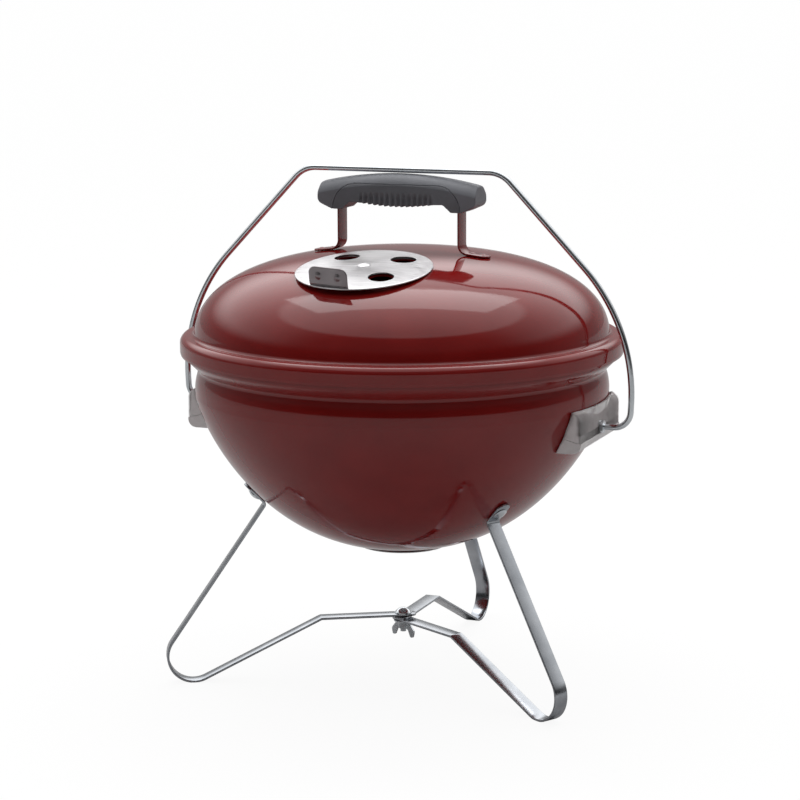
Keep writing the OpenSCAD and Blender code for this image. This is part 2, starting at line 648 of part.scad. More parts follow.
hub_top = hub_z + 1.5 * leg_t;
hub_low = hub_z - 1.5 * leg_t;
wing_z = hub_low - 2 * washer_t;
wing_h = 5;
module hub_bolt() {
  color(plated) {
    translate([0, 0, wing_z - wing_h - 3]) cylinder(r = hub_r, h = hub_top + washer_t + wing_h + 3 - wing_z);
    translate([0, 0, hub_top + washer_t]) dome_head(6.8, 3.8);
  }
}
module hub_washers() {
  color(plated) {
    translate([0, 0, hub_top]) washer(7.4, washer_t, hub_r + bolt_gap);
    translate([0, 0, wing_z + washer_t]) washer(8, washer_t, hub_r + bolt_gap);
    translate([0, 0, wing_z]) washer(6, washer_t, hub_r + bolt_gap);
  }
}
module wing_nut() {
  wing = rounded_loop([[3, -0.4], [7.4, -0.4], [12.6, -6.5], [11.4, -12], [8.6, -12], [5.8, -6], [3, -4.6]],
    [0, 3, 3, 1.2, 1.2, 2, 0], 5);
  color(plated) translate([0, 0, wing_z - face_gap]) difference() {
    union() {
      translate([0, 0, -wing_h]) cylinder(r1 = 4.1, r2 = 5, h = wing_h);
      rotate([0, 0, -20]) both_sides() upright(2) polygon(wing);
    }
    translate([0, 0, -20]) cylinder(r = hub_r + run_gap, h = 30);
  }
}

// ---------- grates ----------

cook_ring_r = neck_r + cook_seat;
cook_z = neck_z + cook_seat + sqrt(2) * (wall + face_gap + cook_ring_d / 2);
module grate_ring(ring_r, ring_d, z) {
  translate([0, 0, z]) rotate_extrude($fn = 144) translate([ring_r, 0]) circle(d = ring_d, $fn = 24);
}
// Straight bars that lie on a ring and cross bars under them, each a wire of its own
module grate_bars(ring_r, ring_d, bar_d, bars, z, cross_pos) {
  pitch = 2 * ring_r / (bars + 1);
  bar_z = z + (ring_d + bar_d) / 2 + weld_gap;
  for (i = [1 : bars]) let(x = -ring_r + pitch * i, half = sqrt(ring_r * ring_r - x * x))
    translate([x, -half, bar_z]) rotate([-90, 0, 0]) cylinder(d = bar_d, h = 2 * half, $fn = 20);
  for (s = [-1, 1]) let(y = s * cross_pos, half = sqrt(ring_r * ring_r - y * y) - ring_d - bar_d)
    translate([-half, y, bar_z - bar_d - weld_gap]) rotate([0, 90, 0]) cylinder(d = bar_d, h = 2 * half, $fn = 20);
}
module cooking_ring() { color(plated) grate_ring(cook_ring_r, cook_ring_d, cook_z); }
module cooking_grate() { color(plated) grate_bars(cook_ring_r, cook_ring_d, cook_bar_d, cook_bars, cook_z, 75); }

coal_u = bowl_u(bowl_floor + coal_rise);
coal_dir = bowl_dir(coal_u);
coal_c = bowl_at(coal_u) - [coal_dir[1], -coal_dir[0]] * (wall + face_gap + coal_wire_d / 2);
module charcoal_ring() { color(plated) grate_ring(coal_c[0], coal_wire_d, coal_c[1]); }
module charcoal_grate() {
  color(plated) grate_bars(coal_c[0], coal_wire_d, coal_wire_d, coal_bars, coal_c[1], 45);
}

bowl();
lid();
handle_bracket();
handle_shell();
handle_insert();
handle_screws();
lid_damper();
lid_damper_rivet();
bowl_damper();
bowl_damper_rivet();
bail();
bail_stop_nuts();
bail_end_nuts();
bail_washers();
bail_bracket_left();
bail_bracket_right();
bracket_rivets();
leg_back();
leg_left();
leg_right();
leg_bolts();
leg_washers();
leg_nuts();
hub_bolt();
hub_washers();
wing_nut();
cooking_ring();
cooking_grate();
charcoal_ring();
charcoal_grate();
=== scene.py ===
import bpy
import bmesh
import math
from mathutils import Matrix, Vector


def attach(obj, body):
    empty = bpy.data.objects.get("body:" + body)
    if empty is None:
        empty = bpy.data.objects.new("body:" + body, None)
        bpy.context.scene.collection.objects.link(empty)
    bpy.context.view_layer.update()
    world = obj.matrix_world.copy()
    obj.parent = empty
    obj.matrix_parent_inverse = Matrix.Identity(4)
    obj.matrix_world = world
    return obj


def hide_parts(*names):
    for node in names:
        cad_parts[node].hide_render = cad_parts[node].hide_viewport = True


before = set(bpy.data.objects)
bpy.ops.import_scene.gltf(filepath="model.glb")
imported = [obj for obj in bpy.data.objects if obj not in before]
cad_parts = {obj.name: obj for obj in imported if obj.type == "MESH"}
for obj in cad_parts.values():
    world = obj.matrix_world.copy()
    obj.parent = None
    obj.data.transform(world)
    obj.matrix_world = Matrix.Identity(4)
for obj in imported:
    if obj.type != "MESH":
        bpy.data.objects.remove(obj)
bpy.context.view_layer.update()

scene = bpy.context.scene
MM = 0.001

# ---------- sizes, in millimetres ----------

# Bowl: its widest radius, the height of that, the depth below it, groove and rim
BOWL_R, BOWL_Z, BOWL_H = 174.0, 245.1, 132.7
BOWL_BOTTOM = BOWL_Z - BOWL_H
GROOVE_R, GROOVE_Z = 170.8, 266.5
RIM_R, RIM_Z = 180.6, 291.9
BEAD_RING, BEAD_R, BEAD_STEPS = 180, 1.6, 24
WALL = 1.2

# Lid: base height and rise of the dome, shoulder and skirt
DOME_Z, DOME_H, SHOULDER_Z = 293.4, 71.0, 295.2
SKIRT_R, SKIRT_Z = 186, 279.7

# Dampers and the vents under them
DAMPER_OUT, DISC_T = 83, 1.2
LID_DISC_R, LID_VENT_RING, LID_VENT_R, LID_TAB_W = 56, 35, 10.5, 36
BOWL_DISC_R, BOWL_VENT_RING, BOWL_VENT_R, BOWL_TAB_OUT = 38, 22, 6.5, 35

# Lid handle, with the grooves of its grip
STRAP_X, STRAP_T, STRAP_TOP = 53.5, 1.6, 419.5
RIB_SPAN, RIB_COUNT, RIB_TOP, RIB_DEPTH = 58, 12, 413.5, 2.2

# Bail and its brackets
PIVOT_Z, BAR_Z, BAIL_R = 225.5, 431.0, 2.5
BRACKET_LOW, BRACKET_TOP = BOWL_Z - 33.2, BOWL_Z + 0.3
BRACKET_HALF, FLANGE, BRACKET_T = 54.0, 9.0, 1.5
ELBOW, HORSESHOE_R, HORSESHOE_Z = 2.6, 20.2, PIVOT_Z + 9.5

# Legs: strip section, knee, middle and radius of the looped foot
LEG_W, LEG_T, KNEE_R = 13, 2, 71.0
FOOT_C, FOOT_R = (179.8, 22.7), 22.0
LEG_TAB_Z = BOWL_BOTTOM + 0.373 * BOWL_H

# Mesh steps along a strip and round its ends, and the gap taken as none
STRIP_STEPS, END_STEPS, SAME = 60, 14, 1e-4


# ---------- materials ----------

def new_material(name, base, metallic, roughness):
    """A principled material with its node tree, shader and object coordinates."""
    mat = bpy.data.materials.new(name)
    mat.use_nodes = True
    tree = mat.node_tree
    shader = next(n for n in tree.nodes if n.type == "BSDF_PRINCIPLED")
    shader.inputs["Base Color"].default_value = (*base, 1)
    shader.inputs["Metallic"].default_value = metallic
    shader.inputs["Roughness"].default_value = roughness
    coord = tree.nodes.new("ShaderNodeTexCoord")
    return mat, tree, shader, coord.outputs["Object"]


def noise(tree, vector, scale, detail=3.0, stretch=None, rough=0.5):
    """Noise over the object's coordinates, drawn out along an axis by stretch."""
    if stretch is not None:
        m = tree.nodes.new("ShaderNodeMapping")
        m.inputs["Scale"].default_value = stretch
        tree.links.new(vector, m.inputs["Vector"])
        vector = m.outputs["Vector"]
    n = tree.nodes.new("ShaderNodeTexNoise")
    n.inputs["Scale"].default_value = scale
    n.inputs["Detail"].default_value = detail
    n.inputs["Roughness"].default_value = rough
    tree.links.new(vector, n.inputs["Vector"])
    return n.outputs["Fac"]


def remap(tree, value, low, high, a=0.3, b=0.7):
    """Value taken from the span a to b onto the span low to high."""
    r = tree.nodes.new("ShaderNodeMapRange")
    r.inputs["From Min"].default_value = a
    r.inputs["From Max"].default_value = b
    r.inputs["To Min"].default_value = low
    r.inputs["To Max"].default_value = high
    tree.links.new(value, r.inputs["Value"])
    return r.outputs["Result"]


def tint(tree, shader, value, dark, light, a=0.3, b=0.7):
    """Base colour that runs from dark to light with the value."""
    ramp = tree.nodes.new("ShaderNodeValToRGB")
    ramp.color_ramp.elements[0].position = a
    ramp.color_ramp.elements[0].color = (*dark, 1)
    ramp.color_ramp.elements[1].position = b
    ramp.color_ramp.elements[1].color = (*light, 1)
    tree.links.new(value, ramp.inputs["Fac"])
    tree.links.new(ramp.outputs["Color"], shader.inputs["Base Color"])


def relief(tree, shader, value, strength, distance, after=None):
    """Bump on the shader's normal, over the bump given as after."""
    b = tree.nodes.new("ShaderNodeBump")
    b.inputs["Strength"].default_value = strength
    b.inputs["Distance"].default_value = distance
    tree.links.new(value, b.inputs["Height"])
    if after is not None:
        tree.links.new(after, b.inputs["Normal"])
    tree.links.new(b.outputs["Normal"], shader.inputs["Normal"])
    return b.outputs["Normal"]


def enamel_material():
    mat, tree, sh, co = new_material("enamel_red", (0.15, 0.009, 0.009), 0.0, 0.16)
    sh.inputs["IOR"].default_value = 1.5
    cloud = noise(tree, co, 28, 4)
    tint(tree, sh, cloud, (0.205, 0.0085, 0.0078), (0.240, 0.0115, 0.0105))
    gloss = remap(tree, noise(tree, co, 60, 5), 0.045, 0.095)
    tree.links.new(gloss, sh.inputs["Roughness"])
    peel = relief(tree, sh, noise(tree, co, 90, 2), 0.06, 0.0006)
    relief(tree, sh, noise(tree, co, 1500, 2), 0.04, 0.0001, peel)
    return mat


def aluminium_material():
    mat, tree, sh, co = new_material("aluminium_brushed", (0.76, 0.73, 0.74), 1.0, 0.34)
    sh.inputs["Anisotropic"].default_value = 0.5
    grain = noise(tree, co, 900, 6, (0.035, 1.0, 1.0), 0.7)
    tint(tree, sh, grain, (0.42, 0.41, 0.42), (0.74, 0.73, 0.74))
    tree.links.new(remap(tree, grain, 0.26, 0.46), sh.inputs["Roughness"])
    relief(tree, sh, grain, 0.22, 0.00012)
    return mat


def bracket_material():
    mat, tree, sh, co = new_material("aluminium_pressed", (0.8, 0.77, 0.77), 0.15, 0.46)
    mottle = noise(tree, co, 90, 6, None, 0.65)
    tint(tree, sh, mottle, (0.74, 0.70, 0.70), (0.88, 0.85, 0.85))
    tree.links.new(remap(tree, noise(tree, co, 500, 4), 0.38, 0.56), sh.inputs["Roughness"])
    relief(tree, sh, noise(tree, co, 1400, 3), 0.15, 0.0001)
    return mat


def plated_material(name, light, dark, low, high, stretch):
    """Metal with a cloudy colour and a fine grain of roughness low to high."""
    mat, tree, sh, co = new_material(name, light, 1.0, 0.2)
    grain = noise(tree, co, 1100, 5, stretch, 0.65)
    cloud = noise(tree, co, 45, 4)
    tint(tree, sh, cloud, dark, light)
    tree.links.new(remap(tree, grain, low, high), sh.inputs["Roughness"])
    relief(tree, sh, grain, 0.12, 0.00008)
    return mat


def plastic_material(name, dark, light):
    mat, tree, sh, co = new_material(name, dark, 0.0, 0.5)
    sh.inputs["IOR"].default_value = 1.47
    tint(tree, sh, noise(tree, co, 40, 4), dark, light)
    tree.links.new(remap(tree, noise(tree, co, 700, 3), 0.42, 0.60), sh.inputs["Roughness"])
    fine = relief(tree, sh, noise(tree, co, 1300, 2), 0.35, 0.00022)
    relief(tree, sh, noise(tree, co, 420, 3), 0.12, 0.0003, fine)
    return mat


enamel = enamel_material()
aluminium = aluminium_material()
pressed = bracket_material()
bright = plated_material("steel_plated", (0.74, 0.77, 0.80), (0.60, 0.63, 0.66),
                         0.10, 0.22, (1, 1, 1))
strip_steel = plated_material("steel_strip", (0.52, 0.54, 0.57), (0.36, 0.38, 0.41),
                              0.12, 0.26, (1, 1, 0.05))
# Painted shade: the damper tabs are the discs' own aluminium, given a darker, mauve-grey
# colour for the shade they show
shaded_tab_metal = plated_material("aluminium_tab_painted_shade", (0.36, 0.33, 0.34), (0.27, 0.245, 0.255),
                            0.30, 0.45, (0.1, 1, 1))
wire_steel = plated_material("steel_wire", (0.74, 0.74, 0.74), (0.60, 0.60, 0.60),
                             0.16, 0.34, (1, 1, 1))
slate = plastic_material("plastic_slate", (0.175, 0.180, 0.200), (0.215, 0.220, 0.245))
slate_deep = plastic_material("plastic_slate_deep", (0.130, 0.133, 0.148),
                              (0.165, 0.168, 0.186))


# ---------- mesh tools ----------

def shade(me, sharp):
    """Smooth shading, with edges kept sharp above an angle in degrees."""
    me.polygons.foreach_set("use_smooth", [True] * len(me.polygons))
    me.set_sharp_from_angle(angle=math.radians(sharp))


def in_metres(verts):
    return [(x * MM, y * MM, z * MM) for x, y, z in verts]


def ease_edges(ob, width, angle):
    """Small bevel, width in millimetres, on edges sharper than an angle in degrees."""
    bev = ob.modifiers.new("eased", "BEVEL")
    bev.width = width * MM
    bev.segments = 2
    bev.limit_method = "ANGLE"
    bev.angle_limit = math.radians(angle)


def piece(name, verts, faces, material, body, slot, *nodes, sharp=35):
    """New mesh piece in metres from points in millimetres, standing for CAD nodes."""
    me = bpy.data.meshes.new(name)
    me.from_pydata(in_metres(verts), [], faces)
    me.validate()
    bm = bmesh.new()
    bm.from_mesh(me)
    bmesh.ops.remove_doubles(bm, verts=bm.verts, dist=1e-7)
    bmesh.ops.recalc_face_normals(bm, faces=bm.faces)
    bm.to_mesh(me)
    bm.free()
    shade(me, sharp)
    me.materials.append(material)
    ob = bpy.data.objects.new(name, me)
    scene.collection.objects.link(ob)
    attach(ob, body)
    if nodes:
        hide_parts(*nodes)
    return ob


def unit(v):
    n = math.hypot(*v)
    return (v[0] / n, v[1] / n)


def corner(a, b, c, r, n=16):
    """Points of an arc that rounds the corner b between a and c."""
    p = unit((a[0] - b[0], a[1] - b[1]))
    q = unit((c[0] - b[0], c[1] - b[1]))
    half = math.acos(max(-1, min(1, p[0] * q[0] + p[1] * q[1]))) / 2
    if half > math.radians(89.9) or r <= 0:
        return [b]
    s = (b[0] + p[0] * r / math.tan(half), b[1] + p[1] * r / math.tan(half))
    w = unit((p[0] + q[0], p[1] + q[1]))
    m = (b[0] + w[0] * r / math.sin(half), b[1] + w[1] * r / math.sin(half))
    cross = (b[0] - a[0]) * (c[1] - b[1]) - (b[1] - a[1]) * (c[0] - b[0])
    turn = (math.pi - 2 * half) * (1 if cross > 0 else -1)
    v = (s[0] - m[0], s[1] - m[1])
    return [(m[0] + v[0] * math.cos(turn * i / n) - v[1] * math.sin(turn * i / n),
             m[1] + v[0] * math.sin(turn * i / n) + v[1] * math.cos(turn * i / n))
            for i in range(n + 1)]


def rounded(points, radii, n=16):
    """A path with its inner corners rounded."""
    out = [points[0]]
    for i in range(1, len(points) - 1):
        out += corner(points[i - 1], points[i], points[i + 1], radii[i - 1], n)
    return out + [points[-1]]


def heading(points, i):
    """Direction of a path at its point i."""
    a, b = points[max(i - 1, 0)], points[min(i + 1, len(points) - 1)]
    return unit((b[0] - a[0], b[1] - a[1]))


def beside(points, d):
    """A path moved to its left."""
    out = []
    for i, p in enumerate(points):
        a = heading(points, i)
        out.append((p[0] - a[1] * d, p[1] + a[0] * d))
    return out


def without_repeats(path):
    out = [path[0]]
    for p in path[1:]:
        if math.dist(p, out[-1]) > SAME:
            out.append(p)
    return out


def lathe(outline, segments):
    """Points and faces of a closed outline (radius, height) turned about Z."""
    verts, faces = [], []
    k = len(outline)
    for j in range(segments):
        t = 2 * math.pi * j / segments
        verts += [(max(r, 0) * math.cos(t), max(r, 0) * math.sin(t), z)
                  for r, z in outline]
    for j in range(segments):
        n = (j + 1) % segments
        for i in range(k):
            h = (i + 1) % k
            ids = [j * k + i, j * k + h, n * k + h, n * k + i]
            if outline[i][0] <= 0 and outline[h][0] <= 0:
                continue
            if outline[i][0] <= 0:
                ids = [j * k + i, j * k + h, n * k + h]
            elif outline[h][0] <= 0:
                ids = [j * k + i, j * k + h, n * k + i]
            faces.append(ids)
    return verts, faces


def strip_mesh(path, width, thick, edge, floor=None):
    """Strip along a path in XZ, width along Y: rounded edges, half-round ends.

    Points below the floor height, where one is given, are lifted onto it.
    """
    pts = without_repeats(path)
    length = [0.0]
    for i in range(1, len(pts)):
        length.append(length[-1] + math.dist(pts[i], pts[i - 1]))
    total = length[-1]
    r = width / 2

    def at(s):
        s = max(0.0, min(total, s))
        for i in range(1, len(pts)):
            if s <= length[i] or i == len(pts) - 1:
                f = (s - length[i - 1]) / (length[i] - length[i - 1])
                return tuple(pts[i - 1][c] + (pts[i][c] - pts[i - 1][c]) * f
                             for c in (0, 1))

    stations = set(length)
    stations |= {total * i / STRIP_STEPS for i in range(STRIP_STEPS + 1)}
    for k in range(END_STEPS + 1):
        inset = r * (1 - math.cos(math.pi / 2 * k / END_STEPS))
        stations |= {inset, total - inset}
    stations = sorted(stations)
    clean = [stations[0]]
    for s in stations[1:]:
        if s - clean[-1] > 0.02:
            clean.append(s)
    verts, faces = [], []
    e = min(edge, thick / 2 * 0.9)
    for s in clean:
        p, q0, q1 = at(s), at(s - 0.4), at(s + 0.4)
        t = unit((q1[0] - q0[0], q1[1] - q0[1]))
        n = (-t[1], t[0])
        w = r
        if s < r:
            w = math.sqrt(max(r * r - (r - s) ** 2, 0.04))
        if total - s < r:
            w = math.sqrt(max(r * r - (r - (total - s)) ** 2, 0.04))
        w = max(w, e + 0.01)
        ring = []
        for cy, cz, a0 in ((w - e, thick / 2 - e, 0), (-w + e, thick / 2 - e, 90),
                           (-w + e, -thick / 2 + e, 180), (w - e, -thick / 2 + e, 270)):
            for a in (0, 30, 60, 90):
                g = math.radians(a0 + a)
                ring.append((cy + e * math.cos(g), cz + e * math.sin(g)))
        base = len(verts)
        for y, h in ring:
            x, z = p[0] + n[0] * h, p[1] + n[1] * h
            verts.append((x, y, z if floor is None else max(z, floor)))
        m = len(ring)
        if base:
            for i in range(m):
                j = (i + 1) % m
                faces.append([base - m + i, base - m + j, base + j, base + i])
    faces.append(list(range(m)))
    faces.append(list(range(len(verts) - m, len(verts))))
    return verts, faces


def tube(path, radius, around):
    """Round wire along a path in XZ, with eased ends."""
    pts = without_repeats(path)
    frames = [(p, heading(pts, i)) for i, p in enumerate(pts)]
    ease = 0.5
    rings = []
    p, a = frames[0]
    rings.append((p, a, radius - ease))
    rings.append(((p[0] + a[0] * ease, p[1] + a[1] * ease), a, radius))
    rings += [(p, a, radius) for p, a in frames[1:-1]]
    p, a = frames[-1]
    rings.append(((p[0] - a[0] * ease, p[1] - a[1] * ease), a, radius))
    rings.append((p, a, radius - ease))
    verts, faces = [], []
    for p, a, r in rings:
        for j in range(around):
            t = 2 * math.pi * j / around
            h = r * math.cos(t)
            verts.append((p[0] - a[1] * h, r * math.sin(t), p[1] + a[0] * h))
    for i in range(len(rings) - 1):
        lower, upper = i * around, (i + 1) * around
        for j in range(around):
            n = (j + 1) % around
            faces.append([lower + j, lower + n, upper + n, upper + j])
    faces.append(list(range(around)))
    faces.append([(len(rings) - 1) * around + j for j in range(around)])
    return verts, faces


def placed(verts, matrix):
    return [tuple(matrix @ Vector(v)) for v in verts]


def joined(*parts):
    verts, faces = [], []
    for v, f in parts:
        base = len(verts)
        verts += v
        faces += [[i + base for i in face] for face in f]
    return verts, faces


def grid_solid(back, front):
    """Closed sheet between two grids of points of the same size."""
    rows, m = len(back), len(back[0])
    size = rows * m
    verts = [v for grid in (back, front) for row in grid for v in row]
    faces = []
    for s in (0, 1):
        for j in range(rows - 1):
            for i in range(m - 1):
                a = s * size + j * m + i
                faces.append([a, a + 1, a + m + 1, a + m])
    for j in range(rows - 1):
        for i in (0, m - 1):
            a = j * m + i
            faces.append([a, a + m, size + a + m, size + a])
    for i in range(m - 1):
        for j in (0, rows - 1):
            a = j * m + i
            faces.append([a, a + 1, size + a + 1, size + a])
    return verts, faces


def dome_mesh(r, h, around=40, rings=10):
    """Low dome with its rim at z = 0 and a short wall under it."""
    ball = (r * r + h * h) / (2 * h)
    outline = [(0, -0.2), (r, -0.2)]
    reach = math.asin(min(1, r / ball))
    for i in range(rings, -1, -1):
        a = reach * i / rings
        outline.append((ball * math.sin(a), h - ball + ball * math.cos(a)))
    return lathe(outline, around)


def boolean_cut(ob, cutters):
    """Cuts holes through a piece and removes the cutters."""
    for verts, faces in cutters:
        me = bpy.data.meshes.new("cutter")
        me.from_pydata(in_metres(verts), [], faces)
        bm = bmesh.new()
        bm.from_mesh(me)
        bmesh.ops.recalc_face_normals(bm, faces=bm.faces)
        bm.to_mesh(me)
        bm.free()
        c = bpy.data.objects.new("cutter", me)
        scene.collection.objects.link(c)
        mod = ob.modifiers.new("cut", "BOOLEAN")
        mod.operation = "DIFFERENCE"
        mod.solver = "EXACT"
        mod.object = c
        dg = bpy.context.evaluated_depsgraph_get()
        new = bpy.data.meshes.new_from_object(ob.evaluated_get(dg))
        ob.modifiers.remove(mod)
        old = ob.data
        ob.data = new
        bpy.data.meshes.remove(old)
        bpy.data.objects.remove(c)
        bpy.data.meshes.remove(me)
    shade(ob.data, 35)


def round_holes(angles, ring_r, r, z0, z1, place, around=48):
    """Cutters for round holes at some angles of a ring."""
    out = []
    for deg in angles:
        a = math.radians(deg)
        shift = Matrix.Translation((ring_r * math.cos(a), ring_r * math.sin(a), 0))
        v, f = lathe([(0, z0), (r, z0), (r, z1), (0, z1)], around)
        out.append((placed(v, place @ shift), f))
    return out


# ---------- bowl and dome curves ----------



def bowl_at(deg):
    """Radius and height on the bowl, from 0 at its widest to 90 at its bottom."""
    u = math.radians(deg)
    return (BOWL_R * math.cos(u) ** 0.862, BOWL_Z - BOWL_H * math.sin(u) ** 1.507)


def dome_at(deg):
    """Radius and height on the dome, from 0 at its edge to 90 at its top."""
    u = math.radians(deg)
    return (BOWL_R * math.cos(u) ** 0.774, DOME_Z + DOME_H * math.sin(u) ** 0.922)


def bowl_u(z):
    return math.degrees(math.asin(((BOWL_Z - z) / BOWL_H) ** (1 / 1.507)))


def dome_u(r):
    return math.degrees(math.acos((r / BOWL_R) ** (1 / 0.774)))


def along(f, deg, d=0.2):
    """Direction in which a curve runs as its angle falls."""
    a, b = f(deg - d), f(deg + d)
    return unit((a[0] - b[0], a[1] - b[1]))


def sheet_outline(path, thick):
    """Closed outline of a shell on the left of a path, its first point on the axis."""
    inner = [(max(x, 0), z) for x, z in beside(path, thick)]
    inner[0] = (0.0, inner[0][1])
    return [(0.0, path[0][1])] + path[1:] + list(reversed(inner))


# ---------- bowl ----------

bowl_path = [bowl_at(90 - 89.6 * i / 110) for i in range(111)]
bowl_path[0] = (0.0, BOWL_BOTTOM)
bowl_path += rounded([(BOWL_R, 247.1), (BOWL_R, 255.8), (GROOVE_R, GROOVE_Z),
                      (RIM_R, 276.3), (RIM_R, RIM_Z)], [40, 4, 5], 14)
bead_path = []
for i in range(BEAD_STEPS):
    a = 2 * math.pi * i / BEAD_STEPS
    bead_path.append((BEAD_RING + BEAD_R * math.cos(a), RIM_Z + BEAD_R * math.sin(a)))
bowl_mesh = joined(lathe(sheet_outline(bowl_path, WALL), 288), lathe(bead_path, 288))
bowl = piece("bowl_shell", *bowl_mesh, enamel, "base", "enamel_bowl", "bowl", sharp=50)
boolean_cut(bowl, round_holes((30, 150, 270), BOWL_VENT_RING, BOWL_VENT_R,
                              105, 125, Matrix.Identity(4)))

# ---------- lid ----------

lid_path = [dome_at(90 - 85 * i / 100) for i in range(101)]
lid_path[0] = (0.0, DOME_Z + DOME_H)
lid_path += rounded([dome_at(4.5), (174.4, SHOULDER_Z), (SKIRT_R, SHOULDER_Z),
                     (SKIRT_R, 281.7), (185.4, SKIRT_Z)], [3.4, 6, 2], 14)
lid_mesh = lathe(sheet_outline(lid_path, -WALL), 320)
lid = piece("lid_shell", *lid_mesh, enamel, "lid", "enamel_lid", "lid", sharp=50)

damper_u = dome_u(DAMPER_OUT)
damper_p = dome_at(damper_u)
slope = along(dome_at, damper_u)
tilt = math.pi / 2 - math.atan2(slope[0], -slope[1])
damper_frame = (Matrix.Rotation(math.radians(-90), 4, "Z")
                @ Matrix.Translation((damper_p[0], 0, damper_p[1]))
                @ Matrix.Rotation(tilt, 4, "Y")
                @ Matrix.Rotation(math.radians(90), 4, "Z"))


def lid_vents(z0, z1):
    return round_holes((45, 135, 225, 315), LID_VENT_RING, LID_VENT_R,
                       z0, z1, damper_frame, 64)


boolean_cut(lid, lid_vents(-16, 8))

# ---------- dampers ----------

def dish_outline(radius, cup, t, rings=30):
    """Shallow dish with an eased rim, its middle at z = 0."""
    flat_r = radius - 0.5
    out = []
    for i in range(rings + 1):
        a = math.asin(flat_r / cup) * i / rings
        out.append((cup * math.sin(a), cup * math.cos(a) - cup))
    top = [(x, z + t) for x, z in out]
    mid = (out[-1][1] + top[-1][1]) / 2
    edge = []
    for deg in (-60, -30, 0, 30, 60):
        g = math.radians(deg)
        edge.append((flat_r + 0.5 * math.cos(g), mid + (t / 2) * math.sin(g)))
    return out + edge + list(reversed(top))


def tab_mesh(width, height, thick, corner_r, dimples, nx, nz):
    """Upright thumb tab: rounded corners, a flared foot and pressed dimples."""
    e = 0.45
    sheets = []
    for side in (1, -1):
        sheet = []
        for j in range(nz + 1):
            z = height * j / nz
            half = width / 2
            d = z - (height - corner_r)
            if d > 0:
                half += math.sqrt(max(corner_r ** 2 - d * d, 0.0)) - corner_r
            foot = max(0.0, 1 - z / 3.0)
            row = []
            for i in range(nx + 1):
                y = half * (2 * i / nx - 1)
                x = side * thick / 2
                border = min(half - abs(y), height - z)
                if border < e:
                    eased = math.sqrt(max(0.0, 1 - (1 - border / e) ** 2))
                    x *= 0.35 + 0.65 * eased
                for dy, dz, dr in dimples:
                    q = math.hypot(y - dy, z - dz) / dr
                    if q < 1:
                        x += 1.25 * math.cos(q * math.pi / 2) ** 1.3
                row.append((x - 1.6 * foot * foot, y, z))
            sheet.append(row)
        sheets.append(sheet)
    return grid_solid(*sheets)


def drop(r, cup):
    """How far a dish has fallen at a radius."""
    return cup - math.sqrt(cup * cup - r * r)


LID_CUP = 1.15 * BOWL_R ** 2 / DOME_H
BOWL_CUP = 1.315 * BOWL_R ** 2 / BOWL_H

verts, faces = lathe(dish_outline(LID_DISC_R, LID_CUP, DISC_T), 240)
verts = placed(verts, damper_frame @ Matrix.Translation((0, 0, 0.6)))
lid_damper = piece("lid_damper_disc", verts, faces, aluminium,
                   "lid_damper", "damper", "lid_damper", sharp=40)
boolean_cut(lid_damper, lid_vents(-6, 6))

# The tab is a chord of the disc, as wide as LID_TAB_W
tab_out = math.sqrt(LID_DISC_R ** 2 - (LID_TAB_W / 2) ** 2)
verts, faces = tab_mesh(LID_TAB_W, 16.5, DISC_T, 6, [(-9, 9.1, 3.4), (9, 9.1, 3.4)], 56, 30)
verts = placed(verts, damper_frame @ Matrix.Rotation(math.radians(-100), 4, "Z")
               @ Matrix.Translation((tab_out - DISC_T / 2, 0, 0.8 - drop(tab_out, LID_CUP))))
# The tab's darker colour is painted shade
piece("lid_damper_tab", verts, faces, shaded_tab_metal, "lid_damper", "damper", sharp=60)

# The bowl damper hangs under the bowl, so it is built upside down
flip = Matrix.Translation((0, 0, BOWL_BOTTOM)) @ Matrix.Scale(-1, 4, (0, 0, 1))
verts, faces = lathe(dish_outline(BOWL_DISC_R, BOWL_CUP, DISC_T, 20), 180)
verts = placed(verts, flip @ Matrix.Translation((0, 0, 0.5)))
bowl_damper = piece("bowl_damper_disc", verts, faces, aluminium,
                    "bowl_damper", "damper", "bowl_damper", sharp=40)
boolean_cut(bowl_damper, round_holes((30, 270, 150), BOWL_VENT_RING, BOWL_VENT_R,
                                     -6, 6, flip))
verts, faces = tab_mesh(18, 12, DISC_T, 4, [], 30, 20)
drop_at_tab = drop(BOWL_TAB_OUT, BOWL_CUP)
verts = placed(verts, flip @ Matrix.Rotation(math.radians(90), 4, "Z")
               @ Matrix.Translation((BOWL_TAB_OUT + DISC_T / 2, 0, 0.9 - drop_at_tab)))
# The tab's darker colour is painted shade
piece("bowl_damper_tab", verts, faces, shaded_tab_metal, "bowl_damper", "damper", sharp=60)

# ---------- lid handle ----------

def step(p, direction, d):
    """The point a distance d from p."""
    return (p[0] + direction[0] * d, p[1] + direction[1] * d)


def both_sides(half):
    """A path that starts at x = 0, with its mirror image put before it."""
    return [(-x, z) for x, z in reversed(half[1:])] + half


foot_u = dome_u(STRAP_X + 14)
foot_run = along(dome_at, foot_u)
foot_up = (-foot_run[1], foot_run[0])
foot_mid = step(dome_at(foot_u), foot_up, 1.1)
foot_corner = step(foot_mid, foot_run, -(foot_mid[0] - STRAP_X) / foot_run[0])
strap_z = STRAP_TOP - STRAP_T / 2
half_path = rounded([(0, strap_z), (STRAP_X, strap_z), foot_corner,
                     step(foot_mid, foot_run, 11)], [18, 8], 20)
parts = [strip_mesh(both_sides(half_path), 18, STRAP_T, 0.55)]
for s in (-1, 1):
    for d in (-5, 5):
        x, z = step(foot_mid, foot_run, d)
        m = (Matrix.Translation((s * x, 0, z))
             @ Matrix.Rotation(s * math.atan2(foot_up[0], foot_up[1]), 4, "Y")
             @ Matrix.Translation((0, 0, 0.75)))
        v, f = dome_mesh(2.9, 0.95)
        parts.append((placed(v, m), f))
piece("handle_strap", *joined(*parts), enamel, "lid", "enamel_strap", "handle_bracket",
      sharp=45)


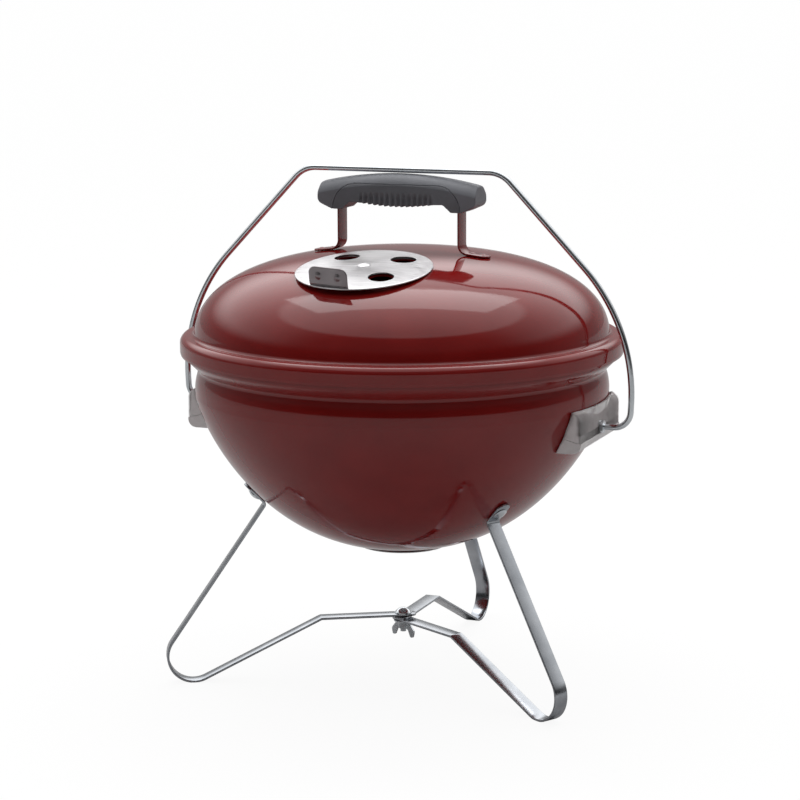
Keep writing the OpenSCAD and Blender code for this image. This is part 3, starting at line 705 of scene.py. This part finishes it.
def press_ribs(me):
    """Upright grooves in both flanks of the grip's lower half."""
    pitch = RIB_SPAN / RIB_COUNT
    for vert in me.vertices:
        x, y, z = (c / MM for c in vert.co)
        if abs(y) <= 3:
            continue
        fade = (max(0.0, min(1.0, (RIB_TOP - z) / 6.0))
                * max(0.0, min(1.0, (33 - abs(x)) / 2.5)))
        fade = fade * fade * (3 - 2 * fade)
        wave = 0.5 + 0.5 * math.cos(2 * math.pi * (x + RIB_SPAN / 2 - pitch / 2) / pitch)
        vert.co[1] = (y - math.copysign(RIB_DEPTH * fade * wave, y)) * MM


def moulded(name, node, material, body, voxel, passes, ribs=False):
    """A CAD node's mesh taken again as a fine mesh with softened edges."""
    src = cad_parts[node]
    ob = bpy.data.objects.new(name, src.data.copy())
    ob.data.materials.clear()
    scene.collection.objects.link(ob)
    mod = ob.modifiers.new("voxels", "REMESH")
    mod.mode = "VOXEL"
    mod.voxel_size = voxel * MM
    mod.use_smooth_shade = True
    sm = ob.modifiers.new("soften", "SMOOTH")
    sm.factor = 0.5
    sm.iterations = passes
    dg = bpy.context.evaluated_depsgraph_get()
    me = bpy.data.meshes.new_from_object(ob.evaluated_get(dg))
    ob.modifiers.clear()
    ob.data = me
    me.name = name
    if ribs:
        press_ribs(me)
    me.polygons.foreach_set("use_smooth", [True] * len(me.polygons))
    me.materials.clear()
    me.materials.append(material)
    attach(ob, body)
    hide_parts(node)
    return ob


moulded("grip_shell", "handle_shell", slate, "lid", 0.45, 4)
moulded("grip_insert", "handle_insert", slate_deep, "lid", 0.45, 3, ribs=True)
moulded("wing_nut_cast", "wing_nut", bright, "wing_nut", 0.2, 5)

# ---------- bail ----------

bail_half = rounded([(0, BAR_Z), (88, BAR_Z), (203.5, 309), (199.5, PIVOT_Z),
                     (157.8, PIVOT_Z)], [25, 149.9, 14], 40)
piece("bail_rod", *tube(both_sides(bail_half), BAIL_R, 28), bright, "bail", "bail_wire",
      "bail", sharp=50)

# ---------- bail brackets ----------

def bez(a, b, c, t):
    """Point of a curve that leaves a towards b and ends at c."""
    return tuple((1 - t) ** 2 * a[k] + 2 * t * (1 - t) * b[k] + t * t * c[k]
                 for k in (0, 1))


def rounded_off(d, r):
    """How far an edge draws back at a distance d from a corner of radius r."""
    return r - math.sqrt(max(r * r - (r - d) ** 2, 0)) if d < r else 0


def bracket_row(z):
    """Plan outline of the bracket's back face at a height: flange, web, flange."""
    na, nf, half = 110, 10, BRACKET_HALF
    u = bowl_u(min(z, BOWL_Z - 0.6))
    r0 = bowl_at(u)[0] + along(bowl_at, u)[1] * 0.3
    reach = FLANGE - rounded_off(z - BRACKET_LOW, 7) - rounded_off(BRACKET_TOP - z, 8)
    edge_x = math.sqrt(r0 * r0 - half * half)
    full = math.sqrt(BOWL_R ** 2 - half ** 2) + max(reach, 1.2)
    full = max(full, edge_x + 2.2)
    start = edge_x + ELBOW
    turn = math.asin(half / BOWL_R)
    web = []
    for i in range(na + 1):
        y = r0 * math.sin(-turn + 2 * turn * i / na)
        if abs(y) < half - ELBOW:
            web.append((math.sqrt(max(r0 * r0 - y * y, 0)), y))
    left = [(full + (start - full) * i / nf, -half) for i in range(nf + 1)]
    elbow_l = [bez((start, -half), (edge_x + 0.1, -half), web[0], i / 8)
               for i in range(1, 8)]
    elbow_r = [bez(web[-1], (edge_x + 0.1, half), (start, half), i / 8)
               for i in range(1, 8)]
    right = [(start + (full - start) * i / nf, half) for i in range(nf + 1)]
    return left + elbow_l + web + elbow_r + right


def bracket_mesh(side):
    """Pressed bracket: a web that hugs the bowl, two flanges, a horseshoe rib."""
    nz = 52
    back, front = [], []
    for j in range(nz + 1):
        z = BRACKET_LOW + (BRACKET_TOP - BRACKET_LOW) * j / nz
        outline = bracket_row(z)
        back.append([(side * x, y, z) for x, y in outline])
        row = []
        for x, y in beside(outline, -BRACKET_T):
            rib = 0.0
            if abs(y) < 30:
                q = math.hypot(y, z - HORSESHOE_Z)
                rib = math.exp(-((q - HORSESHOE_R) / 1.5) ** 2)
            row.append((side * (x + rib), y, z))
        front.append(row)
    return grid_solid(back, front)


for side, name in ((1, "right"), (-1, "left")):
    ob = piece("bracket_" + name, *bracket_mesh(side), pressed, "base", "bail_bracket",
               "bail_bracket_" + name, sharp=50)
    ease_edges(ob, 0.35, 55)

# ---------- legs ----------

leg_u = bowl_u(LEG_TAB_Z)
leg_run = along(bowl_at, leg_u)
leg_end = step(bowl_at(leg_u), (leg_run[1], -leg_run[0]), 1.3)
leg_bend, leg_tip = step(leg_end, leg_run, -12), step(leg_end, leg_run, 12)


def touch(p, m, r, side):
    """Where the line from p touches the circle round m, on the side asked for."""
    v = (p[0] - m[0], p[1] - m[1])
    w = math.atan2(v[1], v[0]) + side * math.acos(r / math.hypot(*v))
    return (m[0] + r * math.cos(w), m[1] + r * math.sin(w))


def leg_path(z):
    """Middle line of a leg whose hub end lies at the height z."""
    knee = (KNEE_R, z)
    low = touch(knee, FOOT_C, FOOT_R, 1)
    high = touch(leg_bend, FOOT_C, FOOT_R, -1)
    lap = 2 * math.pi
    a = math.atan2(low[1] - FOOT_C[1], low[0] - FOOT_C[0]) % lap
    b = math.atan2(high[1] - FOOT_C[1], high[0] - FOOT_C[0]) % lap + lap
    path = [(-11.0, z)] + corner((0, z), knee, low, 3.4, 10)
    for i in range(61):
        t = a + (b - a) * i / 60
        path.append(step(FOOT_C, (math.cos(t), math.sin(t)), FOOT_R))
    return path + corner(high, leg_bend, leg_tip, 3.4, 10) + [leg_tip]


for name, angle, z in (("back", 90, 48.6), ("left", 210, 50.6), ("right", 330, 46.6)):
    verts, faces = strip_mesh(leg_path(z), LEG_W, LEG_T, 0.55, floor=0.0)
    verts = placed(verts, Matrix.Rotation(math.radians(angle), 4, "Z"))
    piece("leg_strip_" + name, verts, faces, strip_steel, "base", "leg_strip",
          "leg_" + name, sharp=40)

# ---------- finishes of the parts that keep their CAD shape ----------

kept = {
    "handle_screws": bright,
    "lid_damper_rivet": aluminium, "bowl_damper_rivet": aluminium,
    "bail_stop_nuts": bright, "bail_end_nuts": bright, "bail_washers": bright,
    "bracket_rivets": pressed,
    "leg_bolts": bright, "leg_washers": bright, "leg_nuts": bright,
    "hub_bolt": bright, "hub_washers": bright,
    "cooking_ring": wire_steel, "cooking_grate": wire_steel,
    "charcoal_ring": wire_steel, "charcoal_grate": wire_steel,
}
for node, mat in kept.items():
    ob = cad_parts[node]
    if not ob.data.materials:
        ob.data.materials.append(mat)
    for s in ob.material_slots:
        s.material = mat
    if mat is not wire_steel:
        ease_edges(ob, 0.2, 40)

# ---------- stage ----------

FLOOR_GREY, FLOOR_GLOW, GLOW_SHARE = (0.44, 0.44, 0.44, 1), 1.1, 0.84
SIDE = 60

floor_mesh = bpy.data.meshes.new("floor")
floor_mesh.from_pydata([(-SIDE, -SIDE, 0), (SIDE, -SIDE, 0), (SIDE, SIDE, 0),
                        (-SIDE, SIDE, 0)], [], [(0, 1, 2, 3)])
floor = bpy.data.objects.new("floor", floor_mesh)
scene.collection.objects.link(floor)

# The floor is grey, with a white glow that only the camera sees
fmat = bpy.data.materials.new("floor_white")
fmat.use_nodes = True
ft = fmat.node_tree
ft.nodes.clear()
out = ft.nodes.new("ShaderNodeOutputMaterial")
diff = ft.nodes.new("ShaderNodeBsdfDiffuse")
diff.inputs["Color"].default_value = FLOOR_GREY
glow = ft.nodes.new("ShaderNodeEmission")
glow.inputs["Color"].default_value = (1, 1, 1, 1)
glow.inputs["Strength"].default_value = FLOOR_GLOW
seen = ft.nodes.new("ShaderNodeLightPath")
share = ft.nodes.new("ShaderNodeMath")
share.operation = "MULTIPLY"
share.inputs[1].default_value = GLOW_SHARE
mix = ft.nodes.new("ShaderNodeMixShader")
ft.links.new(seen.outputs["Is Camera Ray"], share.inputs[0])
ft.links.new(share.outputs[0], mix.inputs[0])
ft.links.new(diff.outputs[0], mix.inputs[1])
ft.links.new(glow.outputs[0], mix.inputs[2])
ft.links.new(mix.outputs[0], out.inputs["Surface"])
floor_mesh.materials.append(fmat)

# Studio surroundings: dim towards the front, bright behind and overhead
FRONT = (0.368, -0.930, 0.0)
FRONT_TO_BACK = [(0.0, 1.0), (0.15, 0.80), (0.35, 0.52), (0.50, 0.36), (0.60, 0.24),
                 (0.68, 0.13), (0.76, 0.06), (0.90, 0.045)]
WORLD_POWER = 2.5

world = bpy.data.worlds.new("studio")
scene.world = world
world.use_nodes = True
wt = world.node_tree
wt.nodes.clear()


def world_range(value, low, high, to_low, to_high, kind="LINEAR"):
    n = wt.nodes.new("ShaderNodeMapRange")
    n.interpolation_type = kind
    n.inputs["From Min"].default_value = low
    n.inputs["From Max"].default_value = high
    n.inputs["To Min"].default_value = to_low
    n.inputs["To Max"].default_value = to_high
    wt.links.new(value, n.inputs["Value"])
    return n.outputs["Result"]


def world_math(operation, a, b):
    """Two values combined; the second may be a plain number."""
    n = wt.nodes.new("ShaderNodeMath")
    n.operation = operation
    wt.links.new(a, n.inputs[0])
    if isinstance(b, float):
        n.inputs[1].default_value = b
    else:
        wt.links.new(b, n.inputs[1])
    return n.outputs[0]


world_out = wt.nodes.new("ShaderNodeOutputWorld")
background = wt.nodes.new("ShaderNodeBackground")
direction = wt.nodes.new("ShaderNodeTexCoord").outputs["Generated"]
facing = wt.nodes.new("ShaderNodeVectorMath")
facing.operation = "DOT_PRODUCT"
facing.inputs[1].default_value = FRONT
wt.links.new(direction, facing.inputs[0])
split = wt.nodes.new("ShaderNodeSeparateXYZ")
wt.links.new(direction, split.inputs[0])
height = split.outputs["Z"]
ramp = wt.nodes.new("ShaderNodeValToRGB")
stops = ramp.color_ramp.elements
while len(stops) < len(FRONT_TO_BACK):
    stops.new(0.5)
for stop, (pos, val) in zip(stops, FRONT_TO_BACK):
    stop.position = pos
    stop.color = (val, val, val, 1)
wt.links.new(world_range(facing.outputs["Value"], -1, 1, 0, 1), ramp.inputs["Fac"])
above_floor = world_range(height, 0.18, 0.44, 0.16, 1, "SMOOTHSTEP")
overhead = world_range(height, 0.735, 0.785, 0, 0.40, "SMOOTHSTEP")
walls = world_math("MULTIPLY", ramp.outputs["Color"], above_floor)
total = world_math("ADD", walls, overhead)
strength = world_math("MULTIPLY", total, WORLD_POWER)
wt.links.new(strength, background.inputs["Strength"])
wt.links.new(background.outputs[0], world_out.inputs["Surface"])


def area(name, place, aim, size, watts):
    """Rectangular lamp at a place, turned towards a point."""
    data = bpy.data.lights.new(name, "AREA")
    data.shape = "RECTANGLE"
    data.size, data.size_y = size
    data.energy = watts
    ob = bpy.data.objects.new(name, data)
    scene.collection.objects.link(ob)
    ob.location = place
    ob.rotation_euler = (Vector(aim) - Vector(place)).to_track_quat("-Z", "Y").to_euler()


area("soft_top", (-0.35, 0.9, 2.6), (0, 0, 0.2), (2.4, 1.2), 16)

# ---------- camera ----------

# Turn about Z, downward pitch and roll in radians; distance and height in metres
BETA, PITCH, ROLL = math.radians(21.584), 0.1794, -0.0045
DISTANCE, HEIGHT = 2.11388, 0.62003

cam_data = bpy.data.cameras.new("camera")
cam_data.sensor_width = 36
cam_data.lens = 114.56
cam_data.shift_x = -0.00289
cam_data.clip_end = 200
cam = bpy.data.objects.new("camera", cam_data)
scene.collection.objects.link(cam)
place = (DISTANCE * math.sin(BETA), -DISTANCE * math.cos(BETA), HEIGHT)
cam.matrix_world = (Matrix.Translation(place) @ Matrix.Rotation(BETA, 4, "Z")
                    @ Matrix.Rotation(math.pi / 2 - PITCH, 4, "X")
                    @ Matrix.Rotation(ROLL, 4, "Z"))
scene.camera = cam
scene.view_settings.view_transform = "Standard"
scene.view_settings.look = "None"
